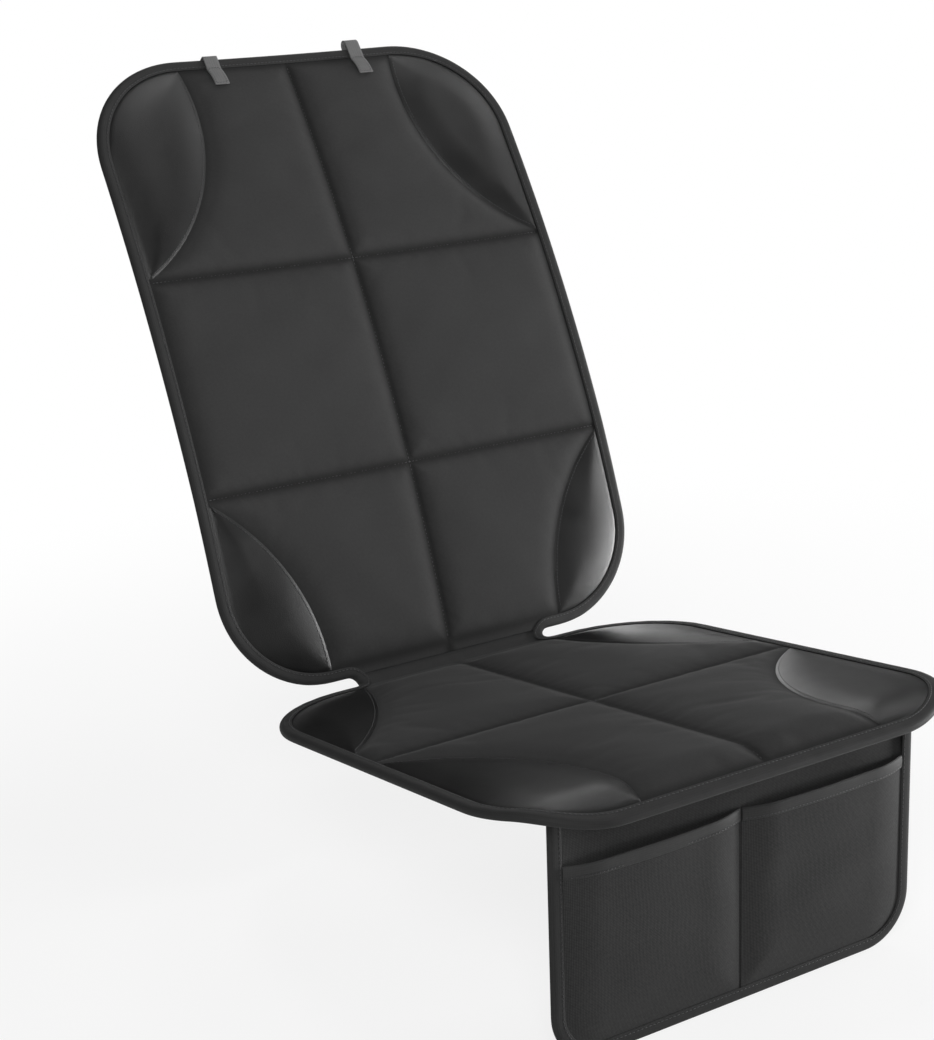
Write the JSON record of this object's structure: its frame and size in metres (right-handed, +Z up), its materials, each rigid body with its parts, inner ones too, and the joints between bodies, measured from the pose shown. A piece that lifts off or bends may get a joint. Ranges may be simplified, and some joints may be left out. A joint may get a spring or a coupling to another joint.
{
  "type": "car seat protector mat",
  "caption": "Quilted black car seat protector mat draped in an L, with leatherette corner pads, bound edge, headrest straps and a front flap with two pockets.",
  "frame": {"origin": "The centre of the seat section's flat underside, where the mat lies on the seat cushion.", "axes": "+X runs across the mat to its right as seen from the front, +Y from the front edge towards the backrest, +Z up."},
  "size_m": [0.48, 0.8349, 0.7658],
  "materials": {
    "cloth": "matte woven polyester cloth over padding, quilted",
    "leatherette": "grained black leatherette with a satin sheen",
    "tape": "woven binding tape, matte",
    "webbing": "ribbed grey webbing, matte",
    "lining": "plain matte backing cloth",
    "pocket_cloth": "fine woven cloth, matte"
  },
  "bodies": {
    "root": {"back_pad": "cloth", "seat_pad": "cloth", "waist_fold": "cloth", "mat_lining": "lining", "edge_binding": "tape", "back_patch_top_left": "leatherette", "back_patch_top_right": "leatherette", "back_patch_bottom_left": "leatherette", "back_patch_bottom_right": "leatherette", "seat_patch_rear_left": "leatherette", "seat_patch_rear_right": "leatherette", "seat_patch_front_left": "leatherette", "seat_patch_front_right": "leatherette", "headrest_strap_left": "webbing", "headrest_strap_right": "webbing", "flap_panel": "pocket_cloth", "flap_binding": "tape", "pocket_left": "pocket_cloth", "pocket_right": "pocket_cloth", "pocket_hem_left": "tape", "pocket_hem_right": "tape"}
  },
  "joints": []
}
